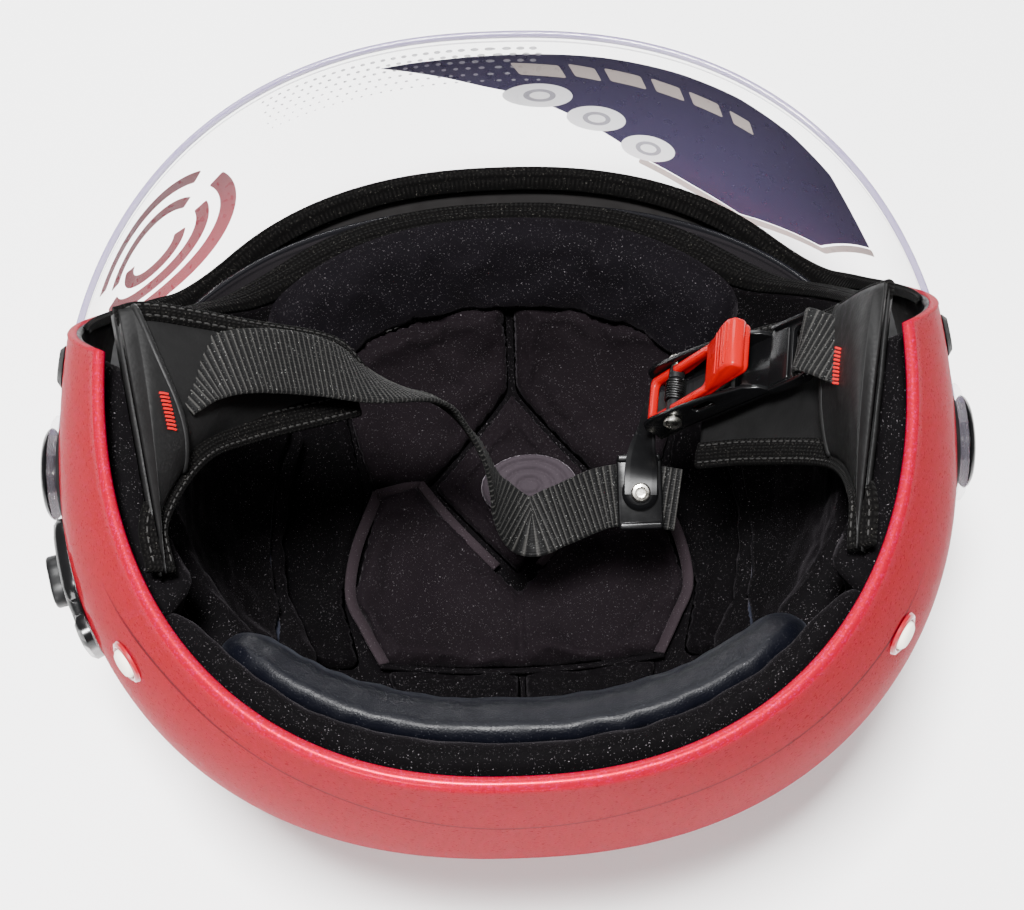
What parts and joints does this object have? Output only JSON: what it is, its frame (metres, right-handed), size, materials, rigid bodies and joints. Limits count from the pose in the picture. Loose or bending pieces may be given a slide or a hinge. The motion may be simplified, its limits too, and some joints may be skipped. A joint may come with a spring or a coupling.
{
  "type": "open face motorcycle helmet",
  "caption": "Open face helmet lying on its crown: painted shell, padded liner, flip-up visor, drop-down sun shield, chin strap with a ratchet buckle.",
  "frame": {"origin": "middle of the bounding box in X and Y, at the crown's lowest point, with the helmet lying on its crown", "axes": "+Z from the crown towards the neck opening, -Y towards the wearer's front, +X towards the wearer's right"},
  "size_m": [0.2828, 0.263, 0.218],
  "materials": {
    "shell_paint": "metallic red under a gloss clear coat",
    "foam": "black expanded foam with a fabric skin",
    "liner_fabric": "matte brushed fabric",
    "satin_fabric": "satin grey-blue fabric",
    "leatherette": "smooth charcoal leatherette",
    "webbing": "ribbed black webbing",
    "buckle_black": "gloss",
    "lever_red": "gloss",
    "steel": "satin",
    "black_plastic": "gloss",
    "rivet_cream": "satin",
    "rubber_black": "matte",
    "visor_clear": "clear gloss with a violet edge",
    "shield_tint": "smoke tinted gloss"
  },
  "bodies": {
    "helmet": {"outer_shell": "shell_paint", "eps_liner": "foam", "cheek_pad_right": "foam", "cheek_pad_left": "foam", "brow_trim": "liner_fabric", "forehead_pad": "liner_fabric", "crown_petal_right": "liner_fabric", "crown_petal_left": "liner_fabric", "crown_side_pad_right": "liner_fabric", "crown_side_pad_left": "liner_fabric", "rear_gusset_right": "liner_fabric", "rear_gusset_left": "liner_fabric", "crown_center_pad": "liner_fabric", "crown_rear_pad": "liner_fabric", "temple_pad_right": "liner_fabric", "temple_pad_left": "liner_fabric", "nape_pad": "liner_fabric", "neck_roll": "liner_fabric", "neck_lining": "satin_fabric", "cheek_skirt_right": "leatherette", "cheek_skirt_left": "leatherette", "skirt_binding_front_right": "webbing", "skirt_binding_front_left": "webbing", "skirt_binding_rear_right": "webbing", "skirt_binding_rear_left": "webbing", "chin_strap_long": "webbing", "chin_strap_short": "webbing", "buckle_body": "buckle_black", "lever_pin": "steel", "lever_spring": "steel", "strap_anchor_plate_right": "steel", "strap_anchor_plate_left": "steel", "pivot_screw_right": "steel", "pivot_screw_left": "steel", "pivot_base_right": "black_plastic", "pivot_base_left": "black_plastic", "pivot_cap_right": "black_plastic", "pivot_cap_left": "black_plastic", "shield_pin_right": "black_plastic", "shield_pin_left": "black_plastic", "sun_lever_plate": "black_plastic", "strap_anchor_rivet_right": "rivet_cream", "strap_anchor_rivet_left": "rivet_cream", "visor_bumper_right": "rubber_black", "visor_bumper_left": "rubber_black"},
    "visor": {"visor": "visor_clear"},
    "sun_shield": {"sun_shield": "shield_tint"},
    "sun_lever": {"sun_lever_knob": "black_plastic"},
    "buckle_lever": {"buckle_lever": "lever_red"},
    "tongue": {"ratchet_tongue": "buckle_black", "strap_slider": "buckle_black", "slider_rivet": "steel", "chin_strap_end": "webbing"}
  },
  "joints": [
    {"name": "visor_hinge", "type": "hinge", "parent": "helmet", "child": "visor", "pos_m": [0, 0.011, 0.131], "axis": [1, 0, 0], "range_deg": [-27, 14]},
    {"name": "sun_shield_hinge", "type": "hinge", "parent": "helmet", "child": "sun_shield", "pos_m": [0, 0.011, 0.131], "axis": [1, 0, 0], "range_deg": [-46, 0]},
    {"name": "sun_lever_slide", "type": "slide", "parent": "helmet", "child": "sun_lever", "axis": [-0.2359, 0.9718, 0], "range_m": [0, 0.014]},
    {"name": "buckle_lever_hinge", "type": "hinge", "parent": "helmet", "child": "buckle_lever", "pos_m": [-0.052, -0.0065, 0.137], "axis": [0.1418, 0.9823, 0.1228], "range_deg": [0, 50], "stiffness_Nm_per_rad": 0.03, "springref_deg": -17.19},
    {"name": "tongue_slide", "type": "slide", "parent": "helmet", "child": "tongue", "axis": [0.6548, 0, -0.7558], "range_m": [0, 0.01]}
  ],
  "couplings": [
    {"joint": "sun_lever_slide", "follows": "sun_shield_hinge", "m_per_rad": -0.0172}
  ]
}
